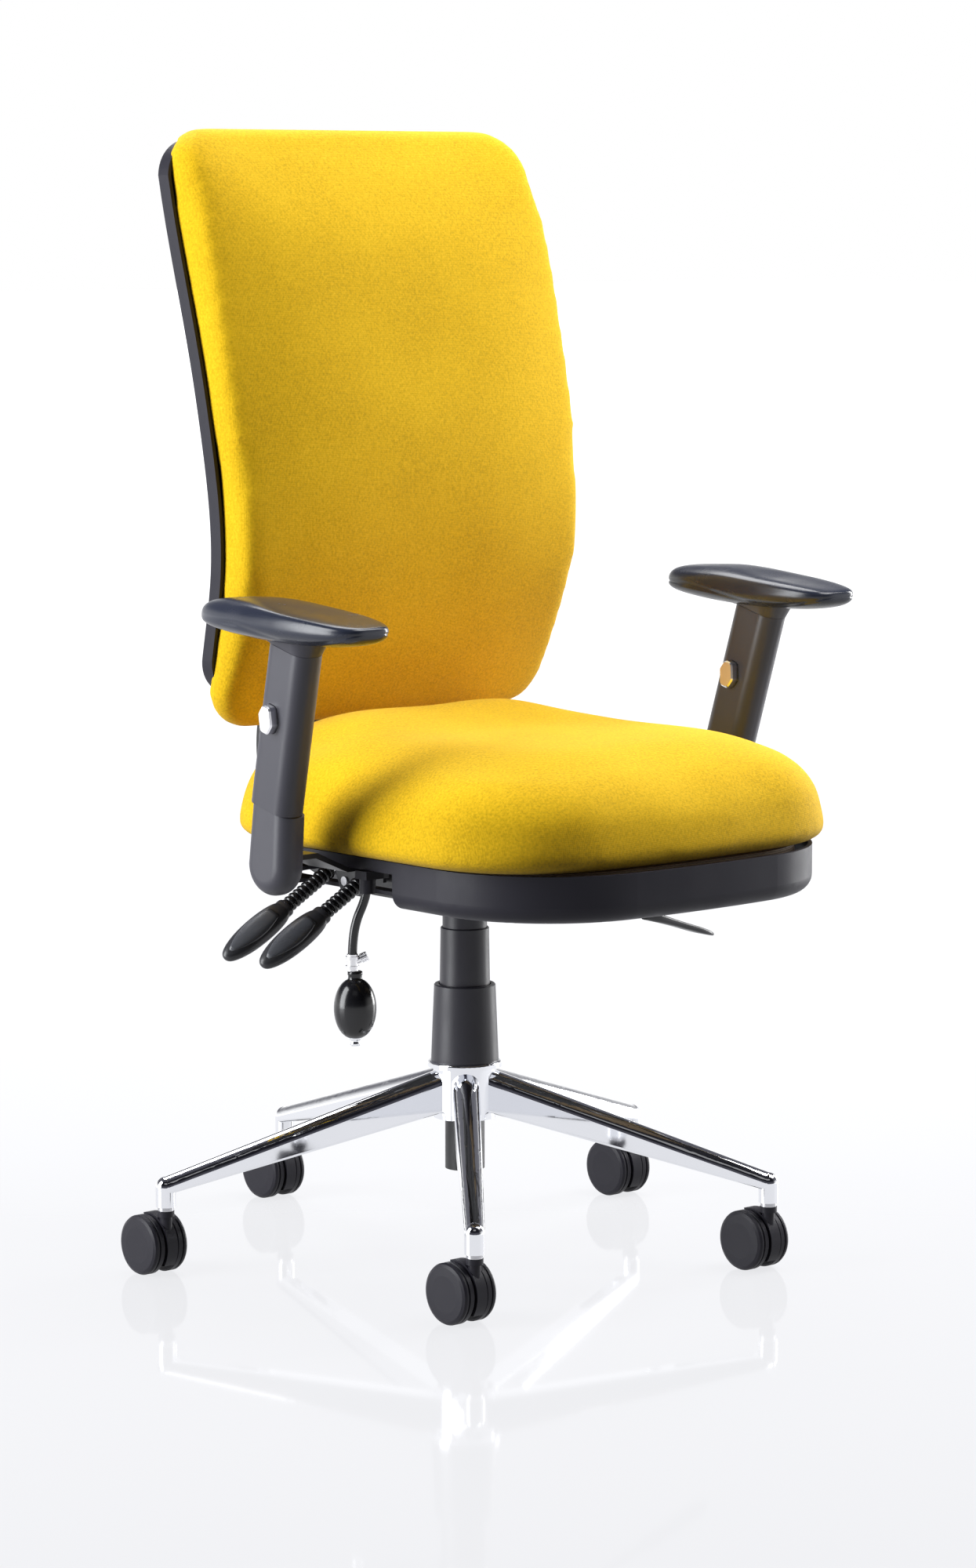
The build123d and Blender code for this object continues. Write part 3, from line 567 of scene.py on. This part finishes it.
def bead_row():
    """Tree that lays beads along Z."""
    tree = bpy.data.node_groups.new("bead_row", "GeometryNodeTree")
    face = tree.interface
    face.new_socket("Geometry", in_out="INPUT", socket_type="NodeSocketGeometry")
    face.new_socket("Beads", in_out="INPUT", socket_type="NodeSocketInt")
    for name in ("Pitch", "Ring radius", "Bead radius"):
        face.new_socket(name, in_out="INPUT", socket_type="NodeSocketFloat")
    face.new_socket("Finish", in_out="INPUT", socket_type="NodeSocketMaterial")
    face.new_socket("Geometry", in_out="OUTPUT", socket_type="NodeSocketGeometry")
    new, link = tree.nodes.new, tree.links.new
    given, result = new("NodeGroupInput"), new("NodeGroupOutput")
    step = new("ShaderNodeCombineXYZ")
    row = new("GeometryNodeMeshLine")
    ring, bead = new("GeometryNodeCurvePrimitiveCircle"), new("GeometryNodeCurvePrimitiveCircle")
    ring.inputs["Resolution"].default_value = 32
    bead.inputs["Resolution"].default_value = 12
    skin, place = new("GeometryNodeCurveToMesh"), new("GeometryNodeInstanceOnPoints")
    real, smooth = new("GeometryNodeRealizeInstances"), new("GeometryNodeSetShadeSmooth")
    paint = new("GeometryNodeSetMaterial")
    link(given.outputs["Pitch"], step.inputs["Z"])
    link(given.outputs["Beads"], row.inputs["Count"])
    link(step.outputs[0], row.inputs["Offset"])
    link(given.outputs["Ring radius"], ring.inputs["Radius"])
    link(given.outputs["Bead radius"], bead.inputs["Radius"])
    link(ring.outputs["Curve"], skin.inputs["Curve"])
    link(bead.outputs["Curve"], skin.inputs["Profile Curve"])
    link(row.outputs["Mesh"], place.inputs["Points"])
    link(skin.outputs["Mesh"], place.inputs["Instance"])
    link(place.outputs[0], real.inputs[0])
    link(real.outputs[0], smooth.inputs[0])
    link(smooth.outputs[0], paint.inputs["Geometry"])
    link(given.outputs["Finish"], paint.inputs["Material"])
    link(paint.outputs[0], result.inputs[0])
    return tree


beads = bead_row()
print("bead row tree", len(beads.nodes), "nodes")

# %% Bellows
lever_slope = math.radians(29.5)
lever_lines = {"back": 0.016, "tilt": -0.042}
along = Vector((-math.cos(lever_slope), 0, -math.sin(lever_slope)))
across = Vector((0, 1, 0))
over = across.cross(along)
bead_sizes = {"Beads": 11, "Pitch": 0.0061, "Ring radius": 0.0052, "Bead radius": 0.0027,
              "Finish": black_rubber}
sleeve_profile = [(0.0046, -0.004), (0.0052, -0.003), (0.0052, 0.0640), (0.0046, 0.0650)]


def lever_place(y, travel):
    """Frame on a lever's line: x is fore-aft, y is up and out of its top, z runs to the tip."""
    origin = Vector((-0.152, y, 0.4105)) + along * travel
    return Matrix.Translation(origin) @ Matrix((across, over, along)).transposed().to_4x4()


def bellows(name, y):
    """Beads and the tube inside them, as one mesh on the lever."""
    carrier = bpy.data.objects.new(f"{name}_bellows", bpy.data.meshes.new(f"{name}_bellows"))
    scene.collection.objects.link(carrier)
    made = carrier.modifiers.new("beads", "NODES")
    made.node_group = beads
    for label, value in bead_sizes.items():
        made[socket_id(beads, label)] = value
    row = evaluated(carrier)
    carrier.modifiers.clear()
    tidy = bmesh.new()
    tidy.from_mesh(row)
    tube = bpy.data.meshes.new("tube")
    verts, faces = lathe(sleeve_profile, steps=32)
    tube.from_pydata([tuple(v) for v in verts], [], faces)
    tidy.from_mesh(tube)
    bmesh.ops.recalc_face_normals(tidy, faces=tidy.faces)
    tidy.transform(lever_place(y, 0.0135))
    tidy.to_mesh(row)
    tidy.free()
    row.materials.clear()
    row.materials.append(black_rubber)
    row.polygons.foreach_set("use_smooth", [True] * len(row.polygons))
    carrier.data = row
    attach(carrier, f"{name}_lever")
    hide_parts(f"{name}_lever_boot")
    print(carrier.name, len(row.polygons), "faces")


for name, y in lever_lines.items():
    bellows(name, y)

# %% [markdown]
# ## Lever grips
# A grip is a pointed oval handle with a dark collar, a waist and a raised panel on its top,
# turned towards the sitter's hand. A subdivided box could be pulled into this shape by hand. Here
# a table of widths and thicknesses along the lever is lofted, and the panel follows the same
# table, so that the two always fit.

# %% Grips
grip_turn = math.radians(34)
grip_table = [(0.073, 0.0088, 0.0080), (0.0745, 0.0100, 0.0088), (0.079, 0.0102, 0.0090),
              (0.0805, 0.0096, 0.0086), (0.0815, 0.0108, 0.0092), (0.088, 0.0128, 0.0102),
              (0.098, 0.0142, 0.0109), (0.110, 0.0149, 0.0111), (0.124, 0.0147, 0.0107),
              (0.138, 0.0134, 0.0096), (0.150, 0.0106, 0.0078), (0.157, 0.0078, 0.0060),
              (0.161, 0.0048, 0.0040), (0.162, 0.0010, 0.0010)]
grip_travels, grip_widths, grip_thicknesses = zip(*grip_table)
flat_top = 0.86
panel_start, panel_length, panel_proud, panel_sunk = 0.092, 0.062, 0.0007, 0.0012


def grip_place(y, travel):
    """The lever's frame, turned about the lever so that the top panel faces the sitter's hand."""
    return lever_place(y, travel) @ Matrix.Rotation(grip_turn, 4, "Z")


def grip_body(name, y):
    """The handle itself: an oval section at each row of the table."""
    rings = []
    for travel, wide, thick in grip_table:
        place = grip_place(y, travel)
        ring = []
        for i in range(40):
            a = 2 * math.pi * i / 40
            u, v = math.cos(a), math.sin(a)
            v = v * (flat_top if v > 0 else 1.0)
            ring.append(place @ Vector((wide * u, thick * v, 0)))
        rings.append(ring)
    body = piece(f"{name}_grip_body", *loft(rings), f"{name}_lever", grip_plastic, "grip_plastic")
    divide = body.modifiers.new("divide", "SUBSURF")
    divide.levels = divide.render_levels = 1
    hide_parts(f"{name}_lever_grip")


def grip_panel(name, y):
    """The raised panel: out along the handle's top, and back a little below it."""
    sections = []
    for t in np.linspace(0, 1, 15):
        travel = panel_start + panel_length * t
        wide = np.interp(travel, grip_travels, grip_widths)
        thick = np.interp(travel, grip_travels, grip_thicknesses)
        span = 0.74 * math.sin(math.pi * min(1, 0.10 + 0.86 * t + 0.02)) ** 0.45
        place = grip_place(y, travel)
        upper, lower = [], []
        for i in range(17):
            s = -1 + 2 * i / 16
            u = span * s
            skin = flat_top * thick * math.sqrt(max(0.0, 1 - u * u))
            upper.append(place @ Vector((wide * u, skin + panel_proud * (1 - abs(s) ** 8), 0)))
            lower.append(place @ Vector((wide * u * 0.98, skin - panel_sunk, 0)))
        sections.append(upper + lower[::-1])
    piece(f"{name}_grip_inset", *loft(sections), f"{name}_lever", inset_plastic, "grip_plastic")


for name, y in lever_lines.items():
    grip_body(name, y)
    grip_panel(name, y)
print("grips made", len(lever_lines))

# %% [markdown]
# ## Floor and lights
# The set is a white sweep with a faintly glossy floor. It could be a curved backdrop, but a wide
# floor under a plain white world looks the same from every side. The chair is lit from both
# sides, so the faces between them fall darker. Chrome and moulded plastic need something dark to
# reflect, so the room is white near the horizon, and dark overhead and on the side where the
# camera stands. Seen directly, it is plain white.

# %% Floor
reach = 40
floor_mesh = bpy.data.meshes.new("floor")
floor_mesh.from_pydata([(-reach, -reach, 0), (reach, -reach, 0), (reach, reach, 0),
                        (-reach, reach, 0)], [], [(0, 1, 2, 3)])
floor = bpy.data.objects.new("floor", floor_mesh)
scene.collection.objects.link(floor)
pale, tree, shader = finish("pale_floor", (0.06, 0.06, 0.062), 0.05, IOR=1.12,
                            Emission_Color=(0.97, 0.975, 1.0, 1), Emission_Strength=0.80)
floor_mesh.materials.append(pale)
floor.visible_diffuse = False
print("floor", 2 * reach, "m square")

# %% World
world = bpy.data.worlds.new("studio")
scene.world = world
world.use_nodes = True
tree = world.node_tree
place = tree.nodes.new("ShaderNodeTexCoord")
split = tree.nodes.new("ShaderNodeSeparateXYZ")
tree.links.new(place.outputs["Generated"], split.inputs[0])
height = maths(tree, "MULTIPLY", maths(tree, "ADD", split.outputs["Z"], 1.0), 0.5)
sky_bands = [(0.0, (0.30,) * 3), (0.43, (0.30,) * 3), (0.475, (1, 1, 1)), (0.56, (1, 1, 1)),
             (0.66, (0.17, 0.17, 0.19)), (0.92, (0.10, 0.10, 0.12))]
sky = ramp(tree, height, sky_bands)
front = direction(view_azimuth, 0)
towards = maths(tree, "ADD", maths(tree, "MULTIPLY", split.outputs["X"], front.x),
                maths(tree, "MULTIPLY", split.outputs["Y"], front.y))
room = ramp(tree, towards, [(0.10, (1, 1, 1)), (0.55, (0.07, 0.07, 0.085))])
dim = tree.nodes.new("ShaderNodeMix")
dim.data_type = "RGBA"
dim.blend_type = "MULTIPLY"
dim.inputs["Factor"].default_value = 1.0
tree.links.new(sky, dim.inputs[6])
tree.links.new(room, dim.inputs[7])
seen = tree.nodes.new("ShaderNodeMix")
seen.data_type = "RGBA"
path_kind = tree.nodes.new("ShaderNodeLightPath")
tree.links.new(path_kind.outputs["Is Camera Ray"], seen.inputs["Factor"])
tree.links.new(dim.outputs[2], seen.inputs[6])
seen.inputs[7].default_value = (1, 1, 1, 1)
tree.links.new(seen.outputs[2], tree.nodes["Background"].inputs["Color"])
print("world", len(tree.nodes), "nodes")


# %% Lights
lit_centre = Vector((0, 0, 0.55))


def softbox(name, azimuth, elevation, distance, size, power, tint=(1, 1, 1)):
    """Rectangular lamp turned towards the middle of the chair; power in watts."""
    light = bpy.data.lights.new(name, "AREA")
    light.shape = "RECTANGLE"
    light.size, light.size_y = size
    light.energy = power
    light.color = tint
    obj = bpy.data.objects.new(name, light)
    scene.collection.objects.link(obj)
    obj.location = lit_centre + direction(azimuth, elevation) * distance
    obj.rotation_euler = (lit_centre - obj.location).to_track_quat("-Z", "Y").to_euler()


softbox("left_box", -111, 16, 2.4, (1.3, 2.4), 96, (0.96, 0.98, 1.0))
softbox("key_box", 46, 56, 2.7, (1.6, 2.0), 84)
softbox("right_box", 84, 10, 2.8, (0.9, 2.0), 66)
softbox("top_box", 150, 58, 2.6, (1.6, 1.6), 45)
softbox("front_fill", view_azimuth, 35, 4.2, (2.0, 1.2), 2)

# %% [markdown]
# ## View transform
# The picture uses the Standard view transform.

# %% View transform
scene.view_settings.view_transform = "Standard"
